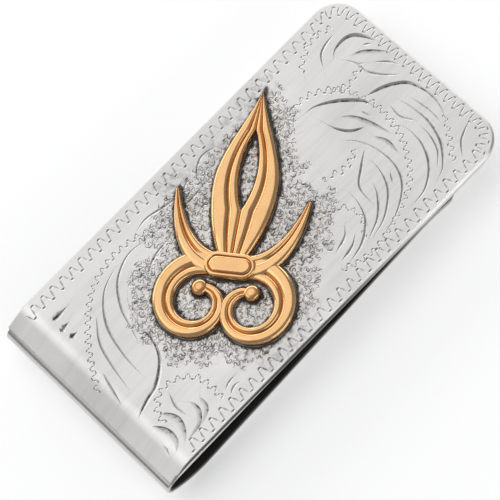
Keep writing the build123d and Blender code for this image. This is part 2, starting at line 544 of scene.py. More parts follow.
def scroll_outline():
    """Pairs of (middle point, half width) all over the ornament, as it lies on the plate."""
    spots = []
    for rails, steps in scroll_parts:
        for side in (1, -1):
            for step in range(2 * steps + 1):
                inner, outer = rails(step / (2 * steps))
                a, b = on_plate(*inner, side), on_plate(*outer, side)
                half = hypot(a[0] - b[0], a[1] - b[1]) / 2
                spots.append(((a[0] + b[0]) / 2, (a[1] + b[1]) / 2, half))
    for side in (1, -1):
        bead = volute_rails(1.0)
        mid = ((bead[0][0] + bead[1][0]) / 2, (bead[0][1] + bead[1][1]) / 2)
        spots.append((*on_plate(*mid, side), volute_bead))
    for step in range(9):
        across = (step / 4 - 1) * (collar_half_length - collar_half_height)
        spots.append((*on_plate(across, collar_place), collar_half_height))
    return np.array(spots)


scroll_spots = scroll_outline()


def clear_of_scroll(x, y):
    """Distance from a point of the plate to the ornament's edge, below 0 under it."""
    return float(np.min(np.hypot(scroll_spots[:, 0] - x, scroll_spots[:, 1] - y) - scroll_spots[:, 2]))


class Bench:
    """A geometry node tree in the making: its named inputs, its nodes and its result."""

    def __init__(self, name, **inputs):
        self.tree = bpy.data.node_groups.new(name, "GeometryNodeTree")
        self.sockets = {}
        self.tree.interface.new_socket("Geometry", in_out="OUTPUT", socket_type="NodeSocketGeometry")
        self.add_input("Geometry", "Geometry")
        for label, kind in inputs.items():
            self.add_input(label, kind)
        self.given = self.tree.nodes.new("NodeGroupInput")
        self.result = self.tree.nodes.new("NodeGroupOutput")

    def add_input(self, label, kind):
        made = self.tree.interface.new_socket(label, in_out="INPUT", socket_type="NodeSocket" + kind)
        self.sockets[label] = made.identifier

    def take(self, label):
        return self.given.outputs[label]

    def node(self, kind, settings=None, values=None, output=0):
        made = self.tree.nodes.new(kind)
        for name, value in (settings or {}).items():
            setattr(made, name, value)
        for socket, value in (values or {}).items():
            if isinstance(value, bpy.types.NodeSocket):
                self.tree.links.new(value, made.inputs[socket])
            else:
                made.inputs[socket].default_value = value
        return made.outputs[output]

    def chance(self, low, high):
        """A number between low and high, drawn for each mark by the tree's seed."""
        values = {2: low, 3: high, "Seed": self.take("Seed")}
        return self.node("FunctionNodeRandomValue", {"data_type": "FLOAT"}, values, 1)

    def strew(self, points, rotation, size):
        """The tree's mark on every point, turned and sized."""
        mark = self.node("GeometryNodeObjectInfo", {}, {"Object": self.take("Mark")}, "Geometry")
        values = {"Points": points, "Instance": mark, "Rotation": rotation, "Scale": size}
        self.close(self.node("GeometryNodeInstanceOnPoints", {}, values))

    def close(self, geometry):
        real = self.node("GeometryNodeRealizeInstances", {}, {"Geometry": geometry})
        done = self.node("GeometryNodeSetMaterial", {}, {"Geometry": real, "Material": self.take("Metal")})
        self.tree.links.new(done, self.result.inputs[0])

    def run(self, source, **values):
        """The plain mesh that the tree makes of the source object, which is then removed."""
        maker = source.modifiers.new(self.tree.name, "NODES")
        maker.node_group = self.tree
        for label, value in values.items():
            maker[self.sockets[label]] = value
        bpy.context.view_layer.update()
        evaluated = source.evaluated_get(bpy.context.evaluated_depsgraph_get())
        mesh = bpy.data.meshes.new_from_object(evaluated)
        source.modifiers.remove(maker)
        bpy.data.objects.remove(source)
        return mesh


def cut_tree():
    """V-shaped graver cuts along curves; a curve's radius is the cut's half width there."""
    bench = Bench("graver_cuts", Width="Float", Depth="Float", Lean="Float", Metal="Material")
    line = bench.node("GeometryNodeCurvePrimitiveLine", {}, {"Start": (-1, 0, 0), "End": (1, 0, 0)})
    line = bench.node("GeometryNodeResampleCurve", {}, {"Curve": line, "Count": 3})
    number = bench.node("GeometryNodeInputIndex")
    spine = bench.node("FunctionNodeCompare", {"data_type": "INT", "operation": "EQUAL"}, {2: number, 3: 1})
    drop = bench.node("ShaderNodeCombineXYZ", {}, {"X": bench.take("Lean"), "Y": bench.take("Depth")})
    vee = bench.node("GeometryNodeSetPosition", {}, {"Geometry": line, "Selection": spine, "Offset": drop})
    radius = bench.node("GeometryNodeInputRadius")
    scale = bench.node("ShaderNodeMath", {"operation": "MULTIPLY"}, {0: radius, 1: bench.take("Width")})
    cuts = bench.node(
        "GeometryNodeCurveToMesh",
        {},
        {"Curve": bench.take("Geometry"), "Profile Curve": vee, "Scale": scale},
    )
    bench.close(cuts)
    return bench


def row_tree():
    """One mark after another along a path, turned to follow it, each a little different."""
    amounts = {"Unevenness": "Float", "Sway": "Float", "Seed": "Int"}
    bench = Bench("row_of_marks", Pitch="Float", Mark="Object", **amounts, Metal="Material")
    spaced = bench.node(
        "GeometryNodeResampleCurve",
        {"mode": "LENGTH"},
        {"Curve": bench.take("Geometry"), "Length": bench.take("Pitch")},
    )
    tangent = bench.node("GeometryNodeInputTangent")
    heading = bench.node(
        "FunctionNodeAlignRotationToVector", {"axis": "X", "pivot_axis": "Z"}, {"Vector": tangent}
    )
    low = bench.node("ShaderNodeMath", {"operation": "SUBTRACT"}, {0: 1.0, 1: bench.take("Unevenness")})
    high = bench.node("ShaderNodeMath", {"operation": "ADD"}, {0: 1.0, 1: bench.take("Unevenness")})
    size = bench.chance(low, high)
    back = bench.node("ShaderNodeMath", {"operation": "MULTIPLY"}, {0: bench.take("Sway"), 1: -1.0})
    turn = bench.node("ShaderNodeCombineXYZ", {}, {"Z": bench.chance(back, bench.take("Sway"))})
    swung = bench.node(
        "FunctionNodeRotateRotation", {"rotation_space": "LOCAL"}, {"Rotation": heading, "Rotate By": turn}
    )
    bench.strew(spaced, swung, size)
    return bench


smallest_mark = 0.6
largest_mark = 1.25
whole_turn = 6.283
most_marks = 60.0


def ground_tree():
    """Marks thrown over a field at any angle, no closer to each other than their spacing."""
    bench = Bench("matted_ground", Spacing="Float", Mark="Object", Seed="Int", Metal="Material")
    spots = bench.node(
        "GeometryNodeDistributePointsOnFaces",
        {"distribute_method": "POISSON"},
        {
            "Mesh": bench.take("Geometry"),
            "Distance Min": bench.take("Spacing"),
            "Density Max": most_marks,
            "Seed": bench.take("Seed"),
        },
    )
    size = bench.chance(smallest_mark, largest_mark)
    turn = bench.node("ShaderNodeCombineXYZ", {}, {"Z": bench.chance(0.0, whole_turn)})
    bench.strew(spots, turn, size)
    return bench


def smooth_through(points, spacing=0.28):
    """Points of a smooth line through the given ones, evenly enough spaced to engrave."""
    given = np.array([points[0], *points, points[-1]], float)
    given[0] = 2 * given[1] - given[2]
    given[-1] = 2 * given[-2] - given[-3]
    line = []
    for a, b, c, d in zip(given, given[1:], given[2:], given[3:]):
        steps = max(2, ceil(hypot(*(c - b)) / spacing))
        for step in range(steps):
            t = step / steps
            bend = (2 * a - 5 * b + 4 * c - d) * t**2 + (3 * b - a - 3 * c + d) * t**3
            line.append(0.5 * (2 * b + (c - a) * t + bend))
    line.append(given[-2])
    return line


def line_object(name, strokes):
    """A curve object of strokes; each is a list of (x, y) and one of half widths."""
    curve = bpy.data.curves.new(name, "CURVE")
    curve.dimensions = "3D"
    for points, halves in strokes:
        spline = curve.splines.new("POLY")
        spline.points.add(len(points) - 1)
        for spot, (x, y), half in zip(spline.points, points, halves):
            spot.co = (x, y, 0, 1)
            spot.radius = half
    return placed(name, curve)


def tapered(points, half, belly=0.5, spacing=0.28):
    """A graver's stroke that swells to its half width at the belly and dies out at both ends."""
    line = smooth_through(points, spacing)
    runs = np.cumsum([0.0] + [hypot(*(b - a)) for a, b in zip(line, line[1:])])
    shares = runs / runs[-1]
    power = np.log(0.5) / np.log(belly)
    swell = np.sin(np.pi * np.clip(shares, 0.004, 0.996) ** power) ** 0.75
    return [tuple(p) for p in line], [max(0.012, half * s) for s in swell]


cuts = cut_tree()
row = row_tree()
ground = ground_tree()
engraver = bpy.data.materials.new("engraving_pattern")


def mark_object(name, strokes, depth):
    """A small pattern of cuts, to be repeated."""
    mesh = cuts.run(line_object(name, strokes), Width=1.0, Depth=depth, Lean=0.0, Metal=engraver)
    return placed(name, mesh)


# The rocked border: a wave of short bars and slanted legs, closer round the free end
border_pitch = 1.40
border_end_pitch = 1.17
wave_bars = (
    (((-0.28, -0.50), (0.0, -0.58), (0.28, -0.50)), 0.15),
    (((0.26, -0.52), (0.35, -0.10), (0.50, 0.42)), 0.10),
    (((0.44, 0.46), (0.68, 0.55), (0.93, 0.46)), 0.17),
    (((0.90, 0.46), (1.02, 0.00), (1.13, -0.48)), 0.105),
)
border_sides = (
    ((-20.6, -11.70), (21.2, -11.70)),
    ((20.9, 11.40), (8.0, 11.32), (-21.3, 11.30)),
)


def wave_mark(name, squeeze):
    strokes = [tapered([(x * squeeze, y) for x, y in bar], half, 0.5, 0.16) for bar, half in wave_bars]
    return mark_object(name, strokes, 0.5)


def evenly(points):
    return [tuple(p) for p in points], [1.0] * len(points)


free_end_path = []
for tilt in range(-84, 1, 12):
    free_end_path.append((22.0 + 2.4 * cos(radians(tilt)), -9.3 + 2.4 * sin(radians(tilt))))
for tilt in range(0, 85, 12):
    free_end_path.append((22.1 + 2.3 * cos(radians(tilt)), 9.2 + 2.3 * sin(radians(tilt))))
side_wave = wave_mark("border_wave", 1.0)
end_wave = wave_mark("border_end_wave", border_end_pitch / border_pitch)
patterns = [
    row.run(
        line_object("border_sides", [evenly(path) for path in border_sides]),
        Pitch=border_pitch, Mark=side_wave, Unevenness=0.06, Sway=0.06, Seed=3, Metal=engraver,
    ),
    row.run(
        line_object("border_end", [evenly(free_end_path)]),
        Pitch=border_end_pitch, Mark=end_wave, Unevenness=0.05, Sway=0.05, Seed=4, Metal=engraver,
    ),
]

# Chains of rocked cuts that frame each scroll
chain_pitch = 1.0
chain_link = (
    (((-0.52, -0.2), (-0.29, -0.26), (-0.06, -0.2)), 0.135),
    (((-0.09, -0.22), (-0.06, 0.03), (0.03, 0.25)), 0.095),
    (((0.0, 0.24), (0.18, 0.29), (0.36, 0.23)), 0.13),
    (((0.34, 0.26), (0.4, 0.03), (0.48, -0.2)), 0.09),
)
chains = (
    (
        (-22.9, 0.2), (-22, 1.5), (-20, 4.4), (-17.5, 7), (-15, 8.6), (-12, 9.3), (-9, 9.1),
        (-6.5, 8.2), (-4.8, 7.5), (-3, 6.9), (-1, 6.3),
    ),
    ((-10.8, 6.5), (-12.5, 5.3), (-13.4, 3.6), (-13.2, 1.8), (-12.6, 0.6)),
    (
        (-20.5, -7.5), (-20, -6.2), (-18.5, -5.2), (-16.8, -5.3), (-15.2, -6.4), (-14.6, -8),
        (-14.6, -10),
    ),
    (
        (12, 6), (14, 6.6), (16, 5.8), (17.6, 4.2), (18.6, 1.5), (18.8, -1), (18.2, -4), (17, -6.3),
        (15.5, -8.2), (13.5, -9.4), (11, -10.3), (8, -11), (5.5, -10.8), (4, -10.2),
    ),
    ((7.5, -4.5), (8.6, -5.5), (9, -7), (8.6, -8.2), (7.8, -9)),
    ((10.4, -1.9), (11.8, -2.4), (13.4, -1.9)),
    ((17, 4.8), (18.5, 4), (19.5, 4.2), (20.8, 4.5)),
    ((22.6, -6.4), (21.5, -8), (20, -10)),
    ((16.6, 9.1), (18, 10.1), (20, 10.6), (21.6, 10.2)),
)
link_strokes = [tapered(points, half, 0.5, 0.14) for points, half in chain_link]
link_mark = mark_object("chain_link", link_strokes, 0.5)
patterns.append(row.run(
    line_object("chains", [evenly(smooth_through(path)) for path in chains]),
    Pitch=chain_pitch, Mark=link_mark, Unevenness=0.12, Sway=0.12, Seed=5, Metal=engraver,
))

# Bright cuts inside the scrolls: (half width, where along it is widest, points), by the graver's lean
upright_cuts = (
    (0.10, 0.5, ((-21.2, 0.9), (-21.8, -1), (-22.3, -3))),
    (0.09, 0.4, ((-17.5, 5.8), (-19.2, 3.5), (-20, 0.8), (-20.6, -2.5))),
    (0.10, 0.5, ((-12, 8.4), (-15, 7.2), (-17.3, 4.5), (-18.3, 1), (-18.6, -2.4))),
    (0.10, 0.5, ((-7.9, 8), (-10.5, 8.25), (-13.2, 7), (-15, 4.6), (-15.8, 2.2), (-16.4, 0.4))),
    (0.11, 0.5, ((-6, 6.2), (-8, 6.1), (-10, 5.4), (-11.6, 4))),
    (0.10, 0.5, ((-18, -5.9), (-18.5, -7.5), (-18.4, -9))),
    (0.08, 0.5, ((-12, -9.7), (-13, -9.8), (-13.8, -10.1))),
    (0.09, 0.5, ((-12.2, -10.5), (-13, -10.5), (-13.8, -10.9))),
    (0.11, 0.5, ((-8.3, 9.4), (-6.5, 9.7), (-4.5, 9.3), (-2.6, 8.95), (-1, 9.2), (0.4, 9.9))),
    (0.09, 0.5, ((0.2, 8.2), (0.8, 9.3), (2, 10.1), (3, 10.2), (4.2, 9.9))),
    (0.07, 0.5, ((0.3, 7.9), (1, 8.2), (1.8, 9))),
    (0.09, 0.5, ((-3, 7.8), (-1.5, 7.6), (0.2, 7.8))),
    (0.09, 0.5, ((17.3, 0.9), (17.7, -0.5))),
    (0.10, 0.5, ((13.6, 0.2), (14.8, -1.5), (15.5, -4), (15.3, -6.5), (14, -8.5), (11.5, -10), (9, -10.6))),
    (0.11, 0.4, ((14.5, -2.4), (12.8, -3.6), (11.3, -4.8), (10.9, -6.2), (10.8, -7.6))),
    (0.10, 0.5, ((14.1, -3.5), (13.9, -5.5), (12.8, -7.6), (10.5, -9.3), (8, -10))),
    (0.10, 0.5, ((12.5, -5.6), (11.8, -7), (10, -8.8), (7.5, -9.8))),
    (0.11, 0.6, ((10, -4), (9.9, -6), (9, -8), (7, -9.5), (4.5, -10.1))),
    (0.10, 0.6, ((7.2, -6.7), (6.2, -7.7), (4.4, -8.2))),
    (0.11, 0.6, ((7.3, -8.2), (6, -9), (4.2, -9.3))),
    (0.08, 0.5, ((14.5, -6.2), (13.8, -7.3))),
    (0.10, 0.5, ((18.2, 7.5), (19, 8.6), (20, 9.1), (21.7, 9.35))),
    (0.11, 0.5, ((20.2, 6.5), (20.9, 5), (21, 3.5), (21.8, 2), (23, 0.7))),
    (0.09, 0.5, ((22.8, 6.1), (23.5, 5.5))),
    (0.09, 0.5, ((22.2, 3.8), (23.3, 2.5), (23.8, 1.4))),
    (0.10, 0.5, ((19.8, -0.9), (19.7, -2.8), (20.4, -4.3))),
    (0.12, 0.5, ((20.8, -0.9), (21.2, -3), (21.2, -5.5), (20.3, -8), (18.5, -10), (17, -10.6))),
    (0.10, 0.5, ((21.9, -2), (22.2, -4.5), (22, -6.4))),
    (0.11, 0.5, ((19, -3.3), (19.2, -5), (18.8, -7), (17.5, -9), (15.5, -10.3), (13.2, -10.6))),
    (0.09, 0.5, ((20.3, -5), (20.2, -6.5), (19.5, -8.3), (18.2, -9.5))),
    (0.09, 0.5, ((24, -8.5), (22.9, -8.9), (21.8, -9.5), (20.7, -10.7))),
)
deep_cuts = (
    (0.34, 0.88, ((-16.5, 9.9), (-18, 9.2), (-19.5, 9.05), (-20.9, 9.1))),
    (0.34, 0.86, ((-18.8, 8.2), (-19.8, 7.7), (-21.2, 7.6))),
    (0.32, 0.84, ((-19.4, 6.5), (-20.2, 6.2), (-21, 6.35))),
    (
        0.24,
        0.86,
        (
            (-5.9, 6.9), (-8.5, 7.7), (-11.5, 6.9), (-14, 4.6), (-15, 2), (-15.2, -0.5),
            (-16.2, -2.6), (-18.2, -4.2), (-20, -4.7), (-22, -5.4),
        ),
    ),
    (0.17, 0.3, ((-3.5, 8.4), (-2, 8.2), (-0.8, 8.4))),
    (0.19, 0.6, ((13, 5.3), (14.5, 5), (16.3, 3.8), (17.6, 2.5), (18.4, 1.4), (18.7, 0.2))),
    (0.15, 0.75, ((13.5, 4.6), (13.8, 3), (14.2, 1.5), (15, 0.2), (16.2, -0.6))),
    (0.20, 0.62, ((19.5, 7.3), (20.5, 8), (22, 8.1), (23, 7.6), (23.7, 6.5), (24.1, 5.3))),
    (
        0.18,
        0.25,
        ((19.3, 1.6), (20.7, 1.1), (22, 0.3), (23, -0.8), (23.5, -2.8), (23.3, -4.8), (22.5, -6.6)),
    ),
)
ramp_cuts = (
    (0.28, 0.40, ((-21.7, -7.2), (-21, -8.8), (-21.1, -10.2), (-21.9, -11))),
    (0.30, 0.35, ((-20, -7), (-19.4, -8.6), (-19.8, -10), (-20.6, -11))),
    (0.22, 0.35, ((-17.2, -8.3), (-17.2, -9.5), (-18.2, -10.6), (-20, -11.0))),
    (0.20, 0.35, ((-16.2, -8.7), (-16.5, -10), (-18, -10.9))),
    (0.16, 0.3, ((-22.3, -9.6), (-22.8, -10.8))),
    (0.20, 0.45, ((15.4, 2.1), (16.3, 1), (17, -0.8), (17.6, -3.3))),
    (0.18, 0.45, ((16.2, -2.2), (16.7, -3.6), (16.6, -5.3))),
    (0.22, 0.5, ((21, 6.3), (22.3, 5.4), (24, 3.5))),
)
for name, group, boldness, depth, lean in (
    ("upright_cuts", upright_cuts, 1.7, 0.45, 0.0),
    ("deep_cuts", deep_cuts, 1.2, 0.75, 0.35),
    ("ramp_cuts", ramp_cuts, 1.3, 0.38, -0.65),
):
    strokes = [tapered(points, half * boldness, belly) for half, belly, points in group]
    patterns.append(cuts.run(line_object(name, strokes), Width=1.0, Depth=depth, Lean=lean, Metal=engraver))

# The matted ground: short rocked squiggles thrown all round the ornament and inside its volutes
ground_reach = 2.3
ground_raggedness = 1.6
ground_low_y = -10.4
ground_high_y = 9.8
ground_cell = 0.4
worm_marks = (
    (
        (-0.62, -0.12), (-0.46, -0.16), (-0.40, 0.14), (-0.22, 0.17), (-0.14, -0.13), (0.04, -0.16),
        (0.12, 0.14), (0.30, 0.17), (0.38, -0.12), (0.56, -0.14),
    ),
    ((-0.34, 0.12), (-0.12, -0.14), (0.14, -0.08), (0.28, 0.16)),
)
worm_halves = (0.085, 0.105)


def ground_edge(x, y):
    """How far from the ornament the ground reaches there."""
    return ground_reach + ground_raggedness * uneven(x * 0.55, y * 0.55, 0.0)


field_points, field_faces = [], []
for col in range(int(-16 / ground_cell), int(18 / ground_cell)):
    for line in range(int(-12 / ground_cell), int(11 / ground_cell)):
        x, y = (col + 0.5) * ground_cell, (line + 0.5) * ground_cell
        reach = ground_edge(x, y) + 0.8 * uneven(x * 1.7, y * 1.7, 4.0)
        if 0.16 < clear_of_scroll(x, y) < reach and ground_low_y < y < ground_high_y:
            start = len(field_points)
            half = ground_cell / 2
            field_points += [(x - half, y - half), (x + half, y - half)]
            field_points += [(x + half, y + half), (x - half, y + half)]
            field_faces.append((start, start + 1, start + 2, start + 3))
for number, (points, half) in enumerate(zip(worm_marks, worm_halves)):
    field_mesh = bpy.data.meshes.new("ground_field")
    field_mesh.from_pydata([(x, y, 0) for x, y in field_points], [], field_faces)
    field = placed("ground_field", field_mesh)
    worm = mark_object("ground_worm", [tapered(points, half, 0.5, 0.12)], 0.6)
    patterns.append(ground.run(field, Spacing=0.62, Mark=worm, Seed=11 + number, Metal=engraver))
    bpy.data.objects.remove(worm)
for mark in (side_wave, end_wave, link_mark):
    bpy.data.objects.remove(mark)


def plate_level(x):
    """Height of the plate's plain top, with its brow and the filed slope towards the fold."""
    if x >= brow_start_x:
        return plate_top
    if x >= brow_end_x:
        return plate_top - brow_arc_radius + sqrt(brow_arc_radius**2 - (x - brow_start_x) ** 2)
    return feather_z + (x - feather_x) * feather_slope


def under_plate(x):
    """Height of the plate's underside, which follows the strip over the start of the fold."""
    if x >= fold_x:
        return plate_bottom
    return plate_bottom - tail_arc_radius + sqrt(tail_arc_radius**2 - (x - fold_x) ** 2)


def bevel_at(x):
    """Width of the rim's bevel, which dies out down the filed slope."""
    share = min(1.0, max(0.0, (x - feather_x) / (brow_start_x - feather_x)))
    return feather_bevel + (rim_bevel - feather_bevel) * share


def rim_corner(middle_y, from_tilt):
    """Rim points (x, y, and the way outwards) round a quarter turn of a free corner."""
    turns = [radians(from_tilt + 90 * step / 16) for step in range(17)]
    return [
        (plate_corner_x + plate_corner * cos(t), middle_y + plate_corner * sin(t), cos(t), sin(t))
        for t in turns
    ]


brow_steps = 14
end_steps = 14
feather_steps = 14
corner_lean = 0.7071
slope_stations = [feather_x + run for run in (0.08, 0.4, 0.9, 1.4, 1.75)]
for step in range(brow_steps, -1, -1):
    slope_stations.append(brow_start_x - brow_arc_radius * sin(radians(brow_turn * step / brow_steps)))
side_stations = slope_stations[:]
side_stations += [brow_start_x + (plate_corner_x - brow_start_x) * step / 30 for step in range(1, 30)]
rim = [(x, -plate_half_width, 0.0, -1.0) for x in side_stations]
rim += rim_corner(-plate_corner_y, -90)
for step in range(1, end_steps):
    rim.append((plate_half_length, plate_corner_y * (2 * step / end_steps - 1), 1.0, 0.0))
rim += rim_corner(plate_corner_y, 0)
rim += [(x, plate_half_width, 0.0, 1.0) for x in reversed(side_stations)]
for step in range(feather_steps + 1):
    y = plate_half_width * (1 - 2 * step / feather_steps)
    tip = -corner_lean if step in (0, feather_steps) else -1.0
    slant = corner_lean * (1 if step == 0 else -1 if step == feather_steps else 0)
    rim.append((feather_x, y, tip, slant))


def filled(outline, stations, extra_points=(), extra_edges=()):
    """Triangles inside an outline, with lines across it at the stations and any extra edges."""
    spots = [Vector(point) for point in outline]
    edges = [(i, (i + 1) % len(outline)) for i in range(len(outline))]
    for x in stations:
        ends = [i for i, point in enumerate(outline) if abs(point[0] - x) < 1e-4]
        ends.sort(key=lambda i: outline[i][1])
        edges.append((ends[0], ends[-1]))
    start = len(spots)
    spots += [Vector(point) for point in extra_points]
    edges += [(a + start, b + start) for a, b in extra_edges]
    found = delaunay_2d_cdt(spots, edges, [], 1, 1e-5, True)
    return found[0], found[2], found[3]


# Every cut is a V-shaped ribbon. The top is cut along the ribbons' lines, and each corner drops
# to the lowest ribbon over or under it.
cut_points, cut_edges, cut_faces = [], [], []
for mesh in patterns:
    start = len(cut_points)
    cut_points += [tuple(vertex.co) for vertex in mesh.vertices]
    cut_faces += [tuple(start + i for i in face.vertices) for face in mesh.polygons]
    long_edges = set()
    for face in mesh.polygons:
        a, b, c, d = (start + i for i in face.vertices)
        long_edges |= {tuple(sorted((b, c))), tuple(sorted((d, a)))}
    cut_edges += sorted(long_edges)
    bpy.data.meshes.remove(mesh)
valley = BVHTree.FromPolygons(cut_points, cut_faces)

halo_points, halo_edges = [], []
for rails, steps in scroll_parts:
    for side in (1, -1):
        for spread in (0.0, 0.16, 0.42):
            for which in (0, 1):
                start = len(halo_points)
                for step in range(steps + 1):
                    pair = rails(step / steps)
                    near, far = on_plate(*pair[which], side), on_plate(*pair[1 - which], side)
                    gap = max(hypot(near[0] - far[0], near[1] - far[1]), 0.05)
                    grow = spread * (1 + 0.5 * uneven(step * 0.9, side * 3.0, which * 7.0 + spread))
                    halo_points.append(tuple(n + (n - f) / gap * grow for n, f in zip(near, far)))
                halo_edges += [(start + i, start + i + 1) for i in range(steps)]

# The filed slope and the brow are divided along and across, so that no long thin triangle is left
slope_margin = 0.25
slope_points = []
for x in slope_stations:
    reach = plate_half_width - bevel_at(x) - slope_margin
    slope_points += [(x, reach * (step - 12) / 12) for step in range(25)]
offset = len(cut_points)
inner_rim = [(x - nx * bevel_at(x), y - ny * bevel_at(x)) for x, y, nx, ny in rim]
top_spots, top_faces, top_from = filled(
    inner_rim,
    slope_stations,
    [(x, y) for x, y, z in cut_points] + halo_points + slope_points,
    cut_edges + [(a + offset, b + offset) for a, b in halo_edges],
)


def cut_depth(x, y):
    """Depth of the lowest ribbon at a point, 0 where the plate is plain."""
    lowest = 0.0
    for dx, dy in ((0, 0), (4e-4, 3e-4), (-4e-4, 3e-4), (1e-4, -5e-4)):
        found = valley.ray_cast(Vector((x + dx, y + dy, -2.0)), Vector((0, 0, 1)), 2.1)
        if found[0] is not None:
            lowest = min(lowest, found[0].z)
    return lowest


def rim_places(sources_of, start):
    """Which point of the plate, counted from the start, each point of the rim became."""
    places = {}
    for index, sources in enumerate(sources_of):
        places |= {source: start + index for source in sources if source < len(rim)}
    return places


full_dirt_depth = 0.1
top_index = rim_places(top_from, 0)
plate_points, cut_share, patina_and_shade_share, ground_share = [], [], [], []
rim_spots = set(top_index.values())
for index, spot in enumerate(top_spots):
    depth = 0.0 if index in rim_spots else cut_depth(spot.x, spot.y)
    plate_points.append((spot.x, spot.y, plate_level(spot.x) + depth))
    clear = clear_of_scroll(spot.x, spot.y)
    cut_share.append(min(1.0, -depth / full_dirt_depth))
    ragged = 0.42 + 0.25 * uneven(spot.x * 1.6, spot.y * 1.6, 2.0)
    patina_and_shade_share.append(max(0.0, 1.0 - max(0.0, clear) / ragged) ** 0.8)
    ground_share.append(max(0.0, min(1.0, (ground_edge(spot.x, spot.y) + 0.4 - clear) / 0.8)))
plate_faces = [tuple(face) for face in top_faces]

# Painted shade: the wall on the near side and the underside are darkened, less and less towards the free
# end
wall_shade = 0.85
wall_shade_y = -12.4
wall_shade_end_x = 14.0
wall_shade_fade = 16.0
wall_start = len(plate_points)
for x, y, nx, ny in rim:
    thick = plate_level(x) - under_plate(x)
    plate_points.append((x, y, plate_level(x) - min(bevel_at(x), 0.4 * thick)))
outline_under = [(x, y) for x, y, nx, ny in rim]
tail_stations = [x for x in side_stations if x < fold_x]
under_spots, under_faces, under_from = filled(outline_under, tail_stations)
under_start = len(plate_points)
plate_points += [(spot.x, spot.y, under_plate(spot.x)) for spot in under_spots]
plate_faces += [tuple(under_start + i for i in reversed(face)) for face in under_faces]
under_index = rim_places(under_from, under_start)
for step in range(len(rim)):
    after = (step + 1) % len(rim)
    wall, wall_after = wall_start + step, wall_start + after
    plate_faces.append((top_index[step], wall, wall_after, top_index[after]))
    plate_faces.append((wall, under_index[step], under_index[after], wall_after))
for index, (x, y, z) in enumerate(plate_points[wall_start:]):
    cut_share.append(0.0)
    ground_share.append(0.0)
    # Painted shade on the near side's wall and on the underside.
    darkened = y < wall_shade_y or index >= len(rim)
    fade = min(1.0, max(0.0, (wall_shade_end_x - x) / wall_shade_fade))
    patina_and_shade_share.append(wall_shade * darkened * fade)


def engraved_silver():
    """The strip's nickel silver, satin finished on the face, darkened where the cuts hold dirt, with patina
    round the ornament and painted shade on the near side wall and underside.
    """
    finish = Finish("engraved_nickel_silver", Metallic=1.0)
    depth = finish.mark("cut_depth")
    patina_and_shade = finish.mark("solder_halo")
    matted = finish.mark("matted")
    satin = finish.grain((900, 3600, 900), 1.0, 3.0)
    streak = finish.grain((90, 1500, 90), 1.0, 3.0, 0.6)
    speck = finish.grain((1, 1, 1), 2600.0, 3.0, 0.6)
    cloud = finish.grain((1, 1, 1), 110.0, 2.0)
    scratch = finish.grain((260, 3300, 900), 1.0, 1.0).between(0.70, 0.76)
    dirt = finish.grain((1, 1, 1), 1500.0, 3.0, 0.6).between(0.42, 0.62)
    # Dirt and patina in the cuts and the ground, patina round the ornament, and painted shade on the near
    # side wall and underside.
    grime_and_shade = depth * (0.26 + dirt * 0.2) + depth * depth * (0.14 + dirt * 0.4)
    grime_and_shade = grime_and_shade + patina_and_shade * 1.25 + matted * dirt * 0.36
    tone = finish.blend(
        cloud.between(0.25, 0.75) * 0.55 + streak.between(0.35, 0.75) * 0.35 + scratch * 0.2,
        silver_colour,
        silver_shade,
    )
    tone = finish.blend(grime_and_shade.between(0.0, 1.0), tone, oxide_and_shade_colour)
    height = satin * 0.5 + speck * 0.5 - scratch * 0.4
    return finish.wear(
        Base_Color=tone,
        Roughness=0.24 + cloud * 0.08 + speck * 0.05 + depth * 0.08 + patina_and_shade * 0.3 + matted * 0.06,
        Normal=finish.relief(height, 0.000005, 0.5),
    )


face_metal = engraved_silver()
face_plate = piece_of("engraved_face_plate", plate_points, plate_faces, face_metal, 9.0)
for name, shares in (("cut_depth", cut_share), ("solder_halo", patina_and_shade_share), ("matted", ground_share)):
    carry(face_plate, name, shares)
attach(face_plate, "front")
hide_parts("face_plate")
bpy.data.materials.remove(engraver)


# ---- Scroll ornament -----------------------------------------------------------------------
# Gilt brass, cut from thick sheet and chased: a pierced bud, two side leaves and two volutes, each
# with a wide outer band, a valley and a narrow inner band, under a collar. It is soldered on.
scroll_foot_z = 4.782
scroll_height = 1.0
scroll_root = 0.02
valley_share = 0.395
valley_reach = 0.11
gilt_colour = (0.93, 0.57, 0.27, 1)
gilt_shade = (0.50, 0.21, 0.06, 1)
band_section = (
    (0.0, 0.50), (0.012, 0.63), (0.035, 0.72), (0.07, 0.79), (0.12, 0.84), (0.18, 0.865), (0.24, 0.855),
    (0.29, 0.81), (0.33, 0.73), (0.365, 0.645), (0.39, 0.615), (0.415, 0.67), (0.45, 0.765), (0.50, 0.84),
    (0.57, 0.885), (0.66, 0.90), (0.75, 0.895), (0.83, 0.865), (0.90, 0.81), (0.95, 0.73), (0.985, 0.63),
    (1.0, 0.50),
)


def across_band(inner, outer, share, side):
    """Where a share of the way from a band's inner to its outer edge lies on the plate."""
    across = inner[0] + (outer[0] - inner[0]) * share
    up = inner[1] + (outer[1] - inner[1]) * share
    return across, up, *on_plate(across, up, side)


def band_sink(rails, along, across, up):
    """How far a band dips to pass under the collar, and the volute to pass under the leaf."""
    gap = max(0.0, abs(across) - collar_half_length, abs(up - collar_place) - collar_half_height)
    sink = 0.13 * max(0.0, 1 - gap / 1.6)
    if rails is volute_rails:
        sink += 0.14 * max(0.0, 1 - along / 0.2)
    return sink


